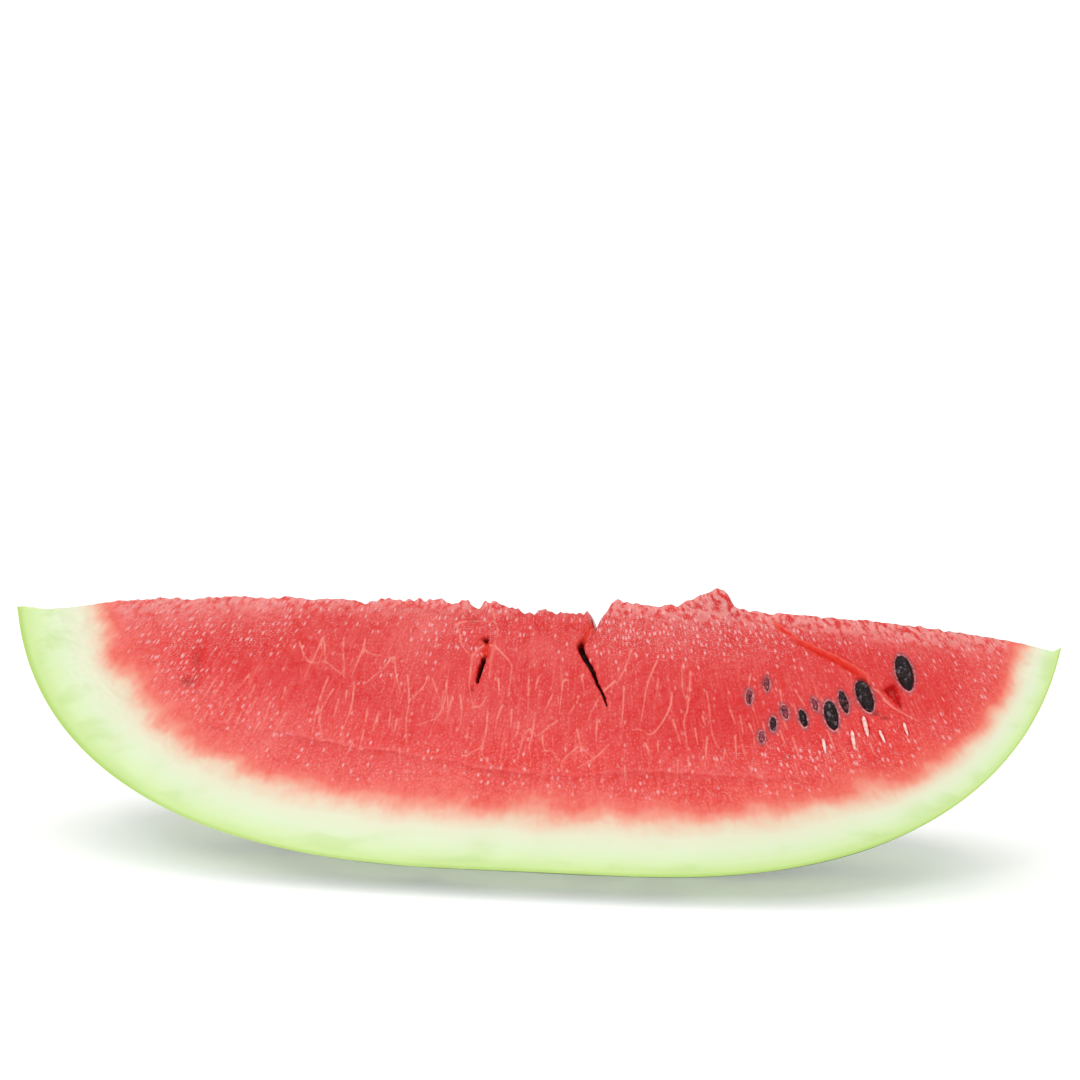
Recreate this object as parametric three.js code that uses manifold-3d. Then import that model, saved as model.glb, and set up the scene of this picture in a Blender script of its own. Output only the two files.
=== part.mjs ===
// A wedge cut from a long striped watermelon, lying on its rind, with its seeds in their sockets.
// Millimetres. X runs along the melon, Z is up, and the cut face of the photograph looks towards -Y.
import * as THREE from "three";
import { mergeVertices } from "three/addons/utils/BufferGeometryUtils.js";
import Module from "manifold-3d";

// The whole melon that the wedge was cut from.
const MELON_LENGTH = 372;
const MELON_RADIUS = 113.5;
const FULLEST_X = 7; // the melon is fullest a little towards its right end
const END_POWER = 2.45; // 2 would be an ellipsoid, and more is blunter
const RESTING_HALF_LENGTH = 24; // the belly is straight this far each way, where the wedge lies
const BELLY_END_FACET = 20; // the facets at the belly's ends are longer than this, so it lies on the belly
const MELON_SIDES = 44;
const MELON_STATIONS = 52;

// The two knife cuts, which meet in a crest under the melon's axis.
const CUT_HALF_ANGLE = THREE.MathUtils.degToRad(30);
const CREST_BELOW_AXIS = 30; // at the ends of the melon
const CREST_BOW = 10.5; // the crest is this much higher at mid length
const KNIFE_REACH = 150;
const KNIFE_BEND_STEPS = 20;

// The cracks: [x, drop down the face, width] from top to bottom.
const CRACK_DEPTH = 5;
const CRACKS = [
  [[-14.9, 15, 1.4], [-14.7, 18, 2.0], [-15.5, 22, 1.8], [-16.5, 27, 1.7], [-17.2, 31, 0.6]],
  [[21.6, -3, 5.0], [21.8, 8, 2.0], [18.2, 15, 2.4], [19.6, 20, 2.3], [22.5, 24, 1.8], [28.6, 36, 0.6]],
];

// The torn tuft of flesh on the crest: [x, height over the crest].
const TUFT_OUTLINE = [[42, 0], [52, 1.2], [59, 3.2], [64, 6.2], [67, 6.6], [70, 3.4], [76, 0]];
const TUFT_THICKNESS = 3.4;
const TUFT_ROOT = 4; // how far the tuft reaches down into the flesh

// Seeds. A socket is wider than its seed by this gap all round.
const SOCKET_GAP = 0.35;
const SEED_SIDES = 10;
const SEED_STATIONS = 7;
const SEED_TAPER = 0.22; // how much narrower the lower end is than the upper
const BLACK_SEED = { width: 0.44, thickness: 0.23 }; // shares of the length
const PALE_SEED = { width: 0.24, thickness: 0.3 };

// Each seed: [x, drop down the face, length, tilt, roll about its length, sink below the face].
// Lengths are in millimetres and angles in degrees. Each face is looked at from outside it, so on the
// back face x and tilt run the other way round from the melon's.
const FRONT_BLACK_SEEDS = [
  [130.5, 16, 12.8, 19, 0, 0.3],
  [117.4, 25.7, 12, 24, 10, 0.5],
  [110.6, 28.4, 9.2, 20, 45, 0.9],
  [106.3, 33.7, 10.8, 16, 10, 0.4],
  [96.9, 35.6, 7.2, 17, 35, 0.7],
  [86.6, 38.6, 5.6, 4, 20, 0.5],
  [90.4, 33.9, 5.2, 20, 30, 0.4],
  [100.6, 30.3, 4.8, 20, 45, 0.4],
  [77.8, 29.8, 5.4, 3, 25, 0.4],
  [83.6, 24.8, 5, 5, 45, 0.4],
  [82.8, 43.5, 4.2, 10, 20, 0.3],
];
const FRONT_PALE_SEEDS = [
  [104.4, 44.6, 5.8, 14, 0, 0.2],
  [114.2, 41.4, 7, 12, 0, 0.2],
  [118.2, 36.3, 7.6, 16, 0, 0.2],
  [124, 39.1, 5.2, 27, 0, 0.2],
  [131.9, 35.5, 5, 21, 0, 0.2],
];
const BACK_BLACK_SEEDS = [
  [126, 22, 12.4, 12, 0, 0.4],
  [114, 27, 10.8, 18, 20, 0.6],
  [103, 33, 9, 15, 55, 1.2],
  [90, 36, 11.4, 10, 10, 0.5],
  [76, 40, 7.4, 8, 45, 0.8],
  [-92, 34, 9.6, -12, 25, 0.6],
  [-108, 29, 11.6, -16, 0, 0.4],
  [-121, 25, 7.2, -20, 40, 0.8],
];
const BACK_PALE_SEEDS = [
  [118, 38, 6.6, 16, 0, 0.2],
  [99, 45, 7.2, 12, 0, 0.2],
  [-84, 44, 6.2, -10, 0, 0.2],
  [-116, 39, 6.8, -18, 0, 0.2],
];

const FLESH = new THREE.MeshStandardMaterial({ color: 0xdb5450, roughness: 0.35, metalness: 0 });
const BLACK = new THREE.MeshStandardMaterial({ color: 0x29191a, roughness: 0.25, metalness: 0 });
const PALE = new THREE.MeshStandardMaterial({ color: 0xf3c9b4, roughness: 0.4, metalness: 0 });

const wasm = await Module();
wasm.setup();

// A mesh, where it stands, as a solid that can be joined and cut.
function solidOf(mesh) {
  mesh.updateWorldMatrix(true, false);
  const positions = new THREE.BufferGeometry();
  positions.setAttribute("position", mesh.geometry.getAttribute("position").clone());
  positions.setIndex(mesh.geometry.index);
  const merged = mergeVertices(positions.applyMatrix4(mesh.matrixWorld), 1e-3);
  return new wasm.Manifold(
    new wasm.Mesh({
      numProp: 3,
      vertProperties: merged.attributes.position.array,
      triVerts: new Uint32Array(merged.index.array),
    }),
  );
}

// A solid's surface as a geometry.
function geometryOf(solid) {
  const mesh = solid.getMesh();
  const geometry = new THREE.BufferGeometry();
  geometry.setAttribute("position", new THREE.BufferAttribute(mesh.vertProperties, 3));
  geometry.setIndex(new THREE.BufferAttribute(mesh.triVerts, 1));
  geometry.computeVertexNormals();
  return geometry;
}

// The melon's radius at a station along its length.
function melonRadius(x) {
  const half = MELON_LENGTH / 2;
  const away = Math.max(Math.abs(x - FULLEST_X) - RESTING_HALF_LENGTH, 0);
  const reach = (x < FULLEST_X ? half + FULLEST_X : half - FULLEST_X) - RESTING_HALF_LENGTH;
  const share = Math.min(away / reach, 1);
  return MELON_RADIUS * (1 - share ** END_POWER) ** (1 / END_POWER);
}

// The stations along the melon, close together at its ends. The belly has only its two ends.
function melonStations() {
  const stations = [FULLEST_X - RESTING_HALF_LENGTH, FULLEST_X + RESTING_HALF_LENGTH];
  for (let i = 0; i <= MELON_STATIONS; i++) {
    const x = (MELON_LENGTH / 2) * Math.sin(Math.PI * (i / MELON_STATIONS - 0.5));
    if (Math.abs(x - FULLEST_X) > RESTING_HALF_LENGTH + BELLY_END_FACET) {
      stations.push(x);
    }
  }
  return stations.sort((a, b) => a - b);
}

// The whole melon, turned about X so that one of its flat sides is straight below the axis.
function makeMelon() {
  const profile = melonStations().map((x) => new THREE.Vector2(melonRadius(x), x));
  profile[0].x = 0;
  profile.at(-1).x = 0;
  const melon = new THREE.Mesh(new THREE.LatheGeometry(profile, MELON_SIDES));
  const halfSide = Math.PI / MELON_SIDES;
  melon.geometry.rotateZ(-Math.PI / 2);
  melon.geometry.rotateX(halfSide);
  melon.position.z = MELON_RADIUS * Math.cos(halfSide);
  return melon;
}

// How much higher the crest is at x than at the melon's ends.
function crestRise(x) {
  return CREST_BOW * (1 - (x / (MELON_LENGTH / 2)) ** 2);
}

// A cut face's own frame: x along the melon, y up the slope, z out of the face.
function makeFaceFrame(turn) {
  const face = new THREE.Group();
  face.rotation.set(Math.PI / 2 - CUT_HALF_ANGLE, 0, turn, "ZYX");
  face.position.z = MELON_RADIUS - CREST_BELOW_AXIS;
  return face;
}

// The place in a face's frame that is at x and at a drop below the crest.
function placeOnFace(x, drop) {
  const rise = crestRise(x);
  return new THREE.Vector3(x, rise * Math.cos(CUT_HALF_ANGLE) - drop, rise * Math.sin(CUT_HALF_ANGLE));
}

// Everything outside one cut, with the slight bow of the knife's path.
function makeKnife() {
  const reach = MELON_LENGTH / 2 + 10;
  const middle = crestRise(0) * Math.sin(CUT_HALF_ANGLE);
  const end = crestRise(reach) * Math.sin(CUT_HALF_ANGLE);
  const outline = new THREE.Shape();
  outline.moveTo(-reach, end);
  outline.quadraticCurveTo(0, 2 * middle - end, reach, end);
  outline.lineTo(reach, 2 * KNIFE_REACH);
  outline.lineTo(-reach, 2 * KNIFE_REACH);
  const options = { depth: 2 * KNIFE_REACH, bevelEnabled: false, curveSegments: KNIFE_BEND_STEPS };
  const geometry = new THREE.ExtrudeGeometry(outline, options);
  geometry.rotateX(Math.PI / 2).translate(0, KNIFE_REACH, 0);
  return new THREE.Mesh(geometry);
}

// The gap of one crack, from below the face to just outside it.
function makeCrack(stops) {
  const outline = new THREE.Shape();
  const left = stops.map(([x, drop, width]) => placeOnFace(x - width / 2, drop));
  const right = stops.map(([x, drop, width]) => placeOnFace(x + width / 2, drop));
  outline.setFromPoints([...left, ...right.reverse()].map((p) => new THREE.Vector2(p.x, p.y)));
  const geometry = new THREE.ExtrudeGeometry(outline, { depth: 2 * CRACK_DEPTH, bevelEnabled: false });
  geometry.translate(0, 0, crestRise(stops[0][0]) * Math.sin(CUT_HALF_ANGLE) - CRACK_DEPTH);
  return new THREE.Mesh(geometry);
}

// The torn tuft that stands on the crest.
function makeTuft() {
  const crest = MELON_RADIUS - CREST_BELOW_AXIS;
  const top = TUFT_OUTLINE.map(([x, height]) => new THREE.Vector2(x, crest + crestRise(x) + height));
  const outline = new THREE.Shape();
  outline.moveTo(top[0].x, top[0].y - TUFT_ROOT);
  outline.lineTo(top[0].x, top[0].y);
  outline.splineThru(top.slice(1));
  outline.lineTo(top.at(-1).x, top.at(-1).y - TUFT_ROOT);
  const options = { depth: TUFT_THICKNESS, bevelEnabled: false, curveSegments: 3 };
  const geometry = new THREE.ExtrudeGeometry(outline, options);
  geometry.rotateX(Math.PI / 2).translate(0, TUFT_THICKNESS / 2, 0);
  return new THREE.Mesh(geometry);
}

// A flattened teardrop, long in y and thin in z, grown all round by a gap.
function seedGeometry(length, shape, gap) {
  const profile = [];
  for (let i = 0; i <= SEED_STATIONS; i++) {
    const turn = (Math.PI * i) / SEED_STATIONS;
    const radius = Math.sin(turn) * (1 - SEED_TAPER * Math.cos(turn)) * 0.5;
    profile.push(new THREE.Vector2(Math.max(radius, 0), -0.5 * Math.cos(turn)));
  }
  profile[0].x = 0;
  profile[SEED_STATIONS].x = 0;
  const geometry = new THREE.LatheGeometry(profile, SEED_SIDES);
  const grown = [length * shape.width, length, length * shape.thickness].map((size) => size + 2 * gap);
  return geometry.scale(...grown);
}

// One seed in its face's frame. With a gap it is the cutter of the seed's socket.
function makeSeed([x, drop, length, tilt, roll, sink], shape, material, gap = 0) {
  const seed = new THREE.Mesh(seedGeometry(length, shape, gap), material);
  seed.position.copy(placeOnFace(x, drop));
  seed.position.z -= sink;
  seed.rotation.set(0, THREE.MathUtils.degToRad(roll), THREE.MathUtils.degToRad(tilt), "ZYX");
  return seed;
}

const front = makeFaceFrame(0);
const back = makeFaceFrame(Math.PI);
const SEED_SETS = [
  { name: "front_black_seed", face: front, shape: BLACK_SEED, material: BLACK, seeds: FRONT_BLACK_SEEDS },
  { name: "front_pale_seed", face: front, shape: PALE_SEED, material: PALE, seeds: FRONT_PALE_SEEDS },
  { name: "back_black_seed", face: back, shape: BLACK_SEED, material: BLACK, seeds: BACK_BLACK_SEEDS },
  { name: "back_pale_seed", face: back, shape: PALE_SEED, material: PALE, seeds: BACK_PALE_SEEDS },
];

// The flesh and rind, one piece: the melon between the cuts, with tuft, cracks and sockets.
function makeFlesh() {
  let flesh = solidOf(makeMelon());
  for (const face of [front, back]) {
    const knife = makeKnife();
    face.add(knife);
    flesh = flesh.subtract(solidOf(knife));
    face.remove(knife);
  }
  flesh = flesh.add(solidOf(makeTuft()));
  for (const stops of CRACKS) {
    const crack = makeCrack(stops);
    front.add(crack);
    flesh = flesh.subtract(solidOf(crack));
    front.remove(crack);
  }
  for (const { face, seeds, shape } of SEED_SETS) {
    for (const seed of seeds) {
      const socket = makeSeed(seed, shape, undefined, SOCKET_GAP);
      face.add(socket);
      flesh = flesh.subtract(solidOf(socket));
      face.remove(socket);
    }
  }
  const mesh = new THREE.Mesh(geometryOf(flesh), FLESH);
  mesh.name = "wedge";
  return mesh;
}

// The wedge in the melon's frame, moved so that the origin is below its middle, where it lies.
const fruit = new THREE.Group();
const flesh = makeFlesh();
fruit.add(flesh, front, back);
for (const { face, seeds, shape, material, name } of SEED_SETS) {
  seeds.forEach((seed, i) => {
    const mesh = makeSeed(seed, shape, material);
    mesh.name = `${name}_${i + 1}`;
    face.add(mesh);
  });
}
const box = new THREE.Box3().setFromObject(flesh);
const middle = box.getCenter(new THREE.Vector3());
fruit.position.set(-middle.x, -middle.y, -box.min.z);

const wedge = new THREE.Group();
wedge.add(fruit);
export default wedge;
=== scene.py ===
"""A wedge of ripe striped watermelon that lies on its rind, with its seeds in their sockets."""

import logging
import random
from bisect import bisect_right
from dataclasses import dataclass, field
from enum import Enum
from functools import cached_property
from math import atan2, cos, exp, hypot, pi, radians, sin, sqrt

import bmesh
import bpy
import numpy as np
from mathutils import Matrix, Vector, kdtree, noise


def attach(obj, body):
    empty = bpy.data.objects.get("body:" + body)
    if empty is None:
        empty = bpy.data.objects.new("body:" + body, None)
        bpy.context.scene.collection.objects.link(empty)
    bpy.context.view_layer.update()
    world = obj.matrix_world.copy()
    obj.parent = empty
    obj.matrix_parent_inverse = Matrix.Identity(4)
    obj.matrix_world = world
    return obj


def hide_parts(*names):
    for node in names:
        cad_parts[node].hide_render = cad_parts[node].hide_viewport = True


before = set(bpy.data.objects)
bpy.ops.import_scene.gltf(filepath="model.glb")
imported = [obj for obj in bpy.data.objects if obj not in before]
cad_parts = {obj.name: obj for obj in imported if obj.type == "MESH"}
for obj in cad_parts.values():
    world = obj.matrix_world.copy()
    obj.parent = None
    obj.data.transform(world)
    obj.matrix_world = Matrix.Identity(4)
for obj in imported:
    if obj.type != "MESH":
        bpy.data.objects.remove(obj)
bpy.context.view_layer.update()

MM = 0.001
log = logging.getLogger("watermelon_wedge")

Colour = tuple[int, int, int]
Line = list[tuple[float, float]]
Stops = tuple[tuple[float, float], ...]
Wire = bpy.types.NodeSocket


class Cut(Enum):
    """The two cut faces of the wedge. The value is the side of Y that the face looks to."""

    FRONT = -1
    BACK = 1


class Ripeness(Enum):
    """How ripe a seed is."""

    RIPE = "black_seed"
    UNRIPE = "pale_seed"


class Veil(Enum):
    """How much film of flesh lies over a ripe seed, which also sets how strong its painted glints are."""

    BARE = 0.0
    SPECKLED = 0.35
    FILMED = 0.75


def smooth_step(low: float, high: float, value: float) -> float:
    """Rises smoothly from 0 at low to 1 at high."""
    share = min(max((value - low) / (high - low), 0.0), 1.0)
    return share * share * (3 - 2 * share)


def plateau(bounds: tuple[float, float, float, float], value: float) -> float:
    """Rises from 0 to 1 between the first two bounds, and falls to 0 again between the last two."""
    return smooth_step(bounds[0], bounds[1], value) * (1 - smooth_step(bounds[2], bounds[3], value))


def along(stops: Stops, x: float) -> float:
    """The value at x of the straight stretches between the stops, which are (x, value) pairs."""
    place = bisect_right(stops, (x, float("inf")))
    if place == 0:
        return stops[0][1]
    if place == len(stops):
        return stops[-1][1]
    (x0, y0), (x1, y1) = stops[place - 1], stops[place]
    return y0 + (y1 - y0) * (x - x0) / (x1 - x0)


def linear(colour: Colour) -> tuple[float, float, float, float]:
    """A screen colour, 0 to 255, as the linear light that a shader works in."""
    shares = [value / 255 for value in colour]
    light = [s / 12.92 if s <= 0.04045 else ((s + 0.055) / 1.055) ** 2.4 for s in shares]
    return (*light, 1.0)


def rough(x: float, y: float, z: float, scale: float) -> float:
    """Smooth noise, about -1 to 1, at a place that is first multiplied by the scale."""
    return noise.noise(Vector((x * scale, y * scale, z)))


def make_piece(name: str, shape: bmesh.types.BMesh, *finishes: bpy.types.Material) -> bpy.types.Object:
    """Turns a finished shape into an object of the scene.

    Args:
        name: The object's name.
        shape: The shape, which is used up.
        finishes: The materials, in the order of the faces' material numbers.

    Returns:
        The object.
    """
    mesh = bpy.data.meshes.new(name)
    shape.to_mesh(mesh)
    shape.free()
    for finish in finishes:
        mesh.materials.append(finish)
    piece = bpy.data.objects.new(name, mesh)
    bpy.context.scene.collection.objects.link(piece)
    return piece


@dataclass
class Melon:
    """The whole melon that the wedge was cut from, and its two cuts.

    X runs along the melon from its middle. A drop is a distance down a cut face from the crest.
    """

    length: float = 372 * MM
    radius: float = 113.5 * MM
    fullest_x: float = 7 * MM
    resting_half_length: float = 24 * MM
    end_power: float = 2.45
    cut_half_angle: float = radians(30)
    crest_below_axis: float = 30 * MM
    crest_bow: float = 10.5 * MM

    def radius_at(self, x: float) -> float:
        """The melon's radius at a station."""
        away = max(abs(x - self.fullest_x) - self.resting_half_length, 0.0)
        side = self.fullest_x if x < self.fullest_x else -self.fullest_x
        reach = self.length / 2 + side - self.resting_half_length
        share = min(away / reach, 1.0)
        return self.radius * (1 - share**self.end_power) ** (1 / self.end_power)

    def crest_at(self, x: float) -> float:
        """How high the plain crest is over the melon's axis. It is below it, so this is negative."""
        return self.crest_bow * (1 - (2 * x / self.length) ** 2) - self.crest_below_axis

    def edge_drop(self, x: float) -> float:
        """The drop at which the cut face meets the skin."""
        crest = self.crest_at(x)
        down = crest * cos(self.cut_half_angle)
        room = down**2 - crest**2 + self.radius_at(x) ** 2
        return max(down + sqrt(max(room, 0.0)), 0.0)

    def tip(self, side: int) -> float:
        """The station where the crest runs out through the skin, at the left (-1) or right (1) end."""
        inner, outer = 0.0, side * self.length / 2
        for _ in range(40):
            middle = (inner + outer) / 2
            if self.radius_at(middle) > -self.crest_at(middle):
                inner = middle
            else:
                outer = middle
        return inner

    @cached_property
    def tips(self) -> tuple[float, float]:
        """The stations of the two tips."""
        return self.tip(-1), self.tip(1)

    @cached_property
    def centring(self) -> float:
        """What is added to x so that the wedge's middle is at the origin."""
        return -sum(self.tips) / 2

    def normal(self, cut: Cut) -> Vector:
        """The way that a cut face looks."""
        return Vector((0, cut.value * cos(self.cut_half_angle), sin(self.cut_half_angle)))

    def on_face(self, cut: Cut, x: float, drop: float) -> Vector:
        """The point of a plain cut face at a station and a drop, in the frame of the finished part."""
        depth = drop * sin(self.cut_half_angle)
        height = self.radius + self.crest_at(x) - drop * cos(self.cut_half_angle)
        return Vector((x + self.centring, cut.value * depth, height))


@dataclass
class Socket:
    """A seed's place in the flesh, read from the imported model.

    The axes' columns are the seed's width, its length from the narrow end to the blunt one, and its
    thickness. The half sizes are in the same order.
    """

    node: str
    middle: Vector
    axes: Matrix
    half: Vector

    @classmethod
    def of_node(cls, node: str) -> "Socket":
        """The socket of a packed seed.

        Args:
            node: The seed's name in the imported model.

        Returns:
            The socket.
        """
        corners = np.array([v.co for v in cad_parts[node].data.vertices], float)
        points = np.unique(corners.round(7), axis=0)
        _, _, rows = np.linalg.svd(points - points.mean(0), full_matrices=False)
        length, width = Vector(rows[0]), Vector(rows[1])
        if length.z < 0:
            length.negate()
        thickness = width.cross(length)
        if thickness.z < 0:
            width.negate()
            thickness.negate()
        own = points @ np.array((width, length, thickness)).T
        low, high = own.min(0), own.max(0)
        axes = Matrix((width, length, thickness)).transposed()
        return cls(node, axes @ Vector((low + high) / 2), axes, Vector((high - low) / 2))

    def depth_below(self, point: Vector, normal: Vector, gap: float) -> float:
        """How far back the flesh lies to clear the seed.

        Args:
            point: A point of the plain cut face.
            normal: The way that the face looks.
            gap: The room round the seed.

        Returns:
            The depth, which is 0 outside the socket.
        """
        size = self.half + Vector((gap, gap, gap))
        off = self.axes.transposed() @ (point - self.middle)
        way = self.axes.transposed() @ -normal
        start = Vector((off.x / size.x, off.y / size.y, off.z / size.z))
        step = Vector((way.x / size.x, way.y / size.y, way.z / size.z))
        inside = 1 - start.length_squared
        if inside <= 0:
            return 0.0
        lean = start.dot(step)
        far = (sqrt(lean**2 + step.length_squared * inside) - lean) / step.length_squared
        return far * smooth_step(0.0, 0.3, inside)

    def gap_to(self, point: Vector) -> float:
        """How far outside the seed a point is, measured towards its middle. It is negative inside."""
        off = self.axes.transposed() @ (point - self.middle)
        share = Vector((off.x / self.half.x, off.y / self.half.y, off.z / self.half.z)).length
        return off.length * (1 - 1 / max(share, 0.1))


@dataclass(frozen=True)
class Crack:
    """A gap torn down the front face: (drop, x, width) in millimetres from its top to its bottom.

    Above dark_from the gap is so shallow that its red walls show; below it the gap is painted near black as
    shade.
    """

    stops: tuple[tuple[float, float, float], ...]
    depth: float
    dark_from: float

    @property
    def middle(self) -> float:
        """The mean x of the crack."""
        return sum(stop[1] for stop in self.stops) / len(self.stops)

    @property
    def bottom(self) -> float:
        """The drop at which the crack ends."""
        return self.stops[-1][0]

    def path(self, drop: float) -> float:
        """The crack's x at a drop. Past its ends it runs on straight down."""
        return along(tuple((d, x) for d, x, _ in self.stops), drop)

    def width(self, drop: float) -> float:
        """The crack's width at a drop, which is 0 past the ends."""
        if not self.stops[0][0] <= drop <= self.bottom:
            return 0.0
        return along(tuple((d, w) for d, _, w in self.stops), drop)


@dataclass(frozen=True)
class Patch:
    """A soft-edged oval on a cut face, in millimetres: where it is, its half sizes and its strength."""

    x: float
    drop: float
    half_x: float
    half_drop: float
    strength: float

    def at(self, x: float, drop: float) -> float:
        """The strength at a place."""
        off = ((x - self.x) / self.half_x) ** 2 + ((drop - self.drop) / self.half_drop) ** 2
        return self.strength * exp(-1.4 * off) if off < 4 else 0.0


@dataclass
class Strands:
    """The pale fibres in the front face's flesh, as lines of (x, drop) points in millimetres."""

    melon: Melon
    seed: int = 7
    step: float = 0.35
    reach: float = 2.6
    fan_x: float = 8.0
    fan_height: float = 210.0
    rind_margin: float = 33.0
    strewn_count: int = 64
    strewn_top: tuple[float, float, float] = (20, 64, 44)
    strewn_x: tuple[float, float] = (-108, 116)
    strewn_length: tuple[float, float] = (2.5, 8)
    strewn_lean: float = 0.8
    clearance: float = 2.2
    drawn: tuple[tuple[tuple[float, float], ...], ...] = (
        ((-26, 10), (-24.5, 9), (-21, 8.3), (-17.5, 8.3), (-12.3, 8.7)),
        ((-13.3, 4.2), (-12.3, 8.7), (-11, 11), (-11.2, 14), (-11.8, 17)),
        ((-11.8, 17), (-9.8, 19), (-5, 23.5), (-5.3, 27), (-5.5, 35.3)),
        ((-11.8, 17), (-14, 17), (-16.6, 17.5), (-19.7, 21.2), (-19.5, 29.4), (-19.8, 32), (-17.5, 39.3)),
        ((-26, 10), (-24, 13.5), (-23.8, 17), (-19.7, 21.2)),
        ((-11.8, 17), (-12.9, 22.2), (-12.7, 29.2)),
        ((-16.2, 20.2), (-13.7, 23.3)),
        ((-17.5, 39.3), (-15, 39), (-13.3, 35.6)),
        ((1, 28.2), (1.5, 39)),
        ((14.5, 28.3), (12.9, 27.7), (12.7, 34), (12.4, 40.4)),
        ((18.7, 33.7), (18.6, 35.5), (15.6, 40.6)),
        ((31, 27.6), (26.8, 31.9), (23.5, 38.9), (22.6, 42)),
        ((34.2, 29.7), (34.4, 35), (34.3, 42.7)),
        ((9.6, 33.7), (7.3, 39.7)),
        ((-7.5, 38.5), (-9, 42.5), (-9.5, 48.5)),
        ((-4.2, 39.6), (-4, 46)),
        ((-12.5, 41), (-12.5, 48.5), (-13.5, 52), (-13.5, 56.5), (-9, 60)),
        ((-20, 56.5), (-18, 56.5), (-17, 55), (-13.5, 53.5)),
        ((4, 41), (3.5, 49), (2.5, 52.5), (4, 57), (3.5, 58.5)),
        ((11.5, 43), (8, 46), (4.5, 49)),
        ((-1.5, 44.5), (-1.5, 48.5), (-5, 52.5)),
        ((2, 46.5), (0.5, 48), (-1, 57.5)),
        ((7, 48.5), (8, 54), (11, 53), (13, 56.5)),
        ((19.5, 51.5), (14, 57), (14.5, 59.5)),
        ((19, 45.5), (20.5, 51.5), (25.5, 55.5)),
        ((30, 50.5), (25.5, 55.5), (19.5, 59)),
        ((-27.5, 30.3), (-27.5, 36.5), (-29.5, 43.5), (-34, 45), (-36.5, 46)),
        ((-22.5, 35.4), (-21.3, 41), (-22, 47.6)),
        ((-80.5, 17), (-78, 23), (-75.5, 24.5), (-71, 23.5), (-68.5, 25.5), (-64.5, 28.5)),
        ((-72, 15), (-73.5, 18), (-75.5, 24)),
        ((-72, 15), (-71, 23.5)),
        ((-65, 16), (-65, 19.5), (-64, 26), (-64, 31)),
        ((-69.5, 29.5), (-72.5, 39), (-73.5, 49)),
        ((-67.5, 34), (-72, 42), (-70, 51)),
        ((-57.5, 16), (-58, 20), (-61.5, 29.5)),
        ((-57.8, 19), (-55.5, 21), (-52, 21.5)),
        ((-48, 22.5), (-49.5, 25.5), (-56, 31.5)),
        ((-46.5, 22.5), (-45.5, 29), (-43.5, 35)),
        ((-41.5, 28.5), (-40, 38), (-41, 44.5), (-40, 52.5)),
        ((-34.5, 29), (-35, 32), (-40, 37.5)),
        ((-60, 32.5), (-60.5, 41.5), (-63.5, 49.5)),
        ((-32.5, 30), (-29, 38)),
        ((54, 21), (54.5, 29.5), (57, 35)),
        ((57, 23), (57, 36), (55.5, 40), (56.5, 44.5), (57.5, 50)),
        ((52, 40.5), (55, 48)),
        ((51, 31), (51, 35.5), (48, 42), (44.5, 46.5), (41, 44), (38.5, 44.5)),
        ((45, 20), (42, 28.5), (41.5, 36.5), (41, 41)),
        ((64, 45.5), (64, 55.5)),
        ((70.5, 49), (70, 54)),
        ((63, 29.5), (64, 34), (65.5, 44), (68, 48.5)),
        ((36, 16.4), (34.6, 22.4), (31.5, 29)),
        ((119.6, 22.2), (122.3, 23.7), (125.6, 27.8), (130.9, 30.2), (136.3, 32.3)),
    )

    def fan(self, x: float, drop: float) -> float:
        """The x at the crest of the fibre through a place, because fibres fan out towards the skin."""
        return (x - self.fan_x) * self.fan_height / (self.fan_height + drop) + self.fan_x

    def down(self, crest_x: float, drop: float) -> float:
        """The x at a drop of the fibre that starts at crest_x."""
        return (crest_x - self.fan_x) * (self.fan_height + drop) / self.fan_height + self.fan_x

    def rounded(self, line: Line) -> Line:
        """A line with its corners cut off twice."""
        for _ in range(2):
            cut = [line[0]]
            for (x0, y0), (x1, y1) in zip(line, line[1:]):
                cut += [(0.75 * x0 + 0.25 * x1, 0.75 * y0 + 0.25 * y1)]
                cut += [(0.25 * x0 + 0.75 * x1, 0.25 * y0 + 0.75 * y1)]
            line = [*cut, line[-1]]
        return line

    def walk(self, line: Line) -> list[tuple[Vector, tuple[float, float], float]]:
        """Goes along a line in short steps.

        Args:
            line: The line.

        Returns:
            For each step the place, the line's direction, and how far along it is, from 0 to 1.
        """
        ends = [Vector((x, drop, 0)) for x, drop in line]
        total = sum((b - a).length for a, b in zip(ends, ends[1:]))
        places = []
        run = 0.0
        for start, end in zip(ends, ends[1:]):
            way = end - start
            count = max(round(way.length / self.step), 1)
            for k in range(count):
                share = (run + way.length * k / count) / total
                places.append((start + way * (k / count), (way.x / way.length, way.y / way.length), share))
            run += way.length
        return places

    def lines(self) -> list[Line]:
        """The drawn fibres, and short straight ones strewn clear of them and of each other."""
        rng = random.Random(self.seed)
        lines = [self.rounded(list(line)) for line in self.drawn]
        taken = [place for line in lines for place, _, _ in self.walk(line)]
        last = len(lines) + self.strewn_count
        while len(lines) < last:
            top = rng.triangular(*self.strewn_top)
            crest_x = rng.uniform(*self.strewn_x)
            length = rng.uniform(*self.strewn_length)
            lean = rng.gauss(0, self.strewn_lean)
            drops = [top + length * share for share in (0, 0.5, 1)]
            line = [(self.down(crest_x, drop) + lean * (drop - top) / length, drop) for drop in drops]
            low_x, low = line[-1]
            if low > self.melon.edge_drop(low_x * MM) / MM - self.rind_margin:
                continue
            places = [place for place, _, _ in self.walk(line)]
            if all((place - other).length > self.clearance for place in places[::4] for other in taken):
                lines.append(line)
                taken += places
        return lines

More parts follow.
